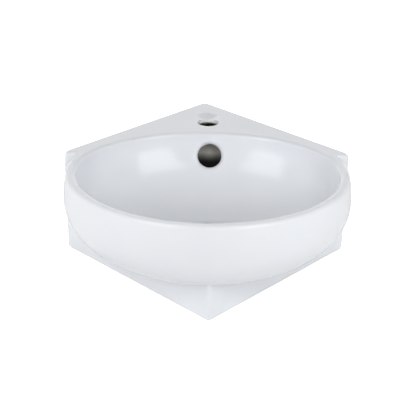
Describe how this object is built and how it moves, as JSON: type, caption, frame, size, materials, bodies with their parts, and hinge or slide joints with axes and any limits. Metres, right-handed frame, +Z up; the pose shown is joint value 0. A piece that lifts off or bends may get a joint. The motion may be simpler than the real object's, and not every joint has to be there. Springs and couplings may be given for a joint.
{
  "type": "corner basin",
  "caption": "Wall-hung corner basin in glazed fired clay, with a round bowl, a tap hole, an overflow and a push-to-open waste.",
  "frame": {"origin": "middle of the bounding box, on the base plane that the clay body stands on", "axes": "+Z up, +Y towards the meeting line of the two walls, +X to the right of someone facing the basin"},
  "size_m": [0.4468, 0.4769, 0.16],
  "materials": {
    "clay": "white gloss glaze",
    "chrome": "polished chrome plate",
    "brass": "machined",
    "steel": "drawn wire",
    "rubber": "matt black",
    "nylon": "matt natural"
  },
  "bodies": {
    "basin": {"basin_body": "clay", "waste_body": "chrome", "flange_seal": "rubber", "tapered_gasket": "rubber", "slip_washer": "nylon", "backnut": "brass", "click_sleeve": "brass", "sleeve_locknut": "brass", "click_spring": "steel"},
    "plug": {"click_plunger": "brass", "plug_cap": "chrome", "cap_seal": "rubber"}
  },
  "joints": [
    {"name": "plug_lift", "type": "slide", "parent": "basin", "child": "plug", "axis": [0, 0, 1], "range_m": [0, 0.009], "deforming": ["click_spring"]}
  ]
}
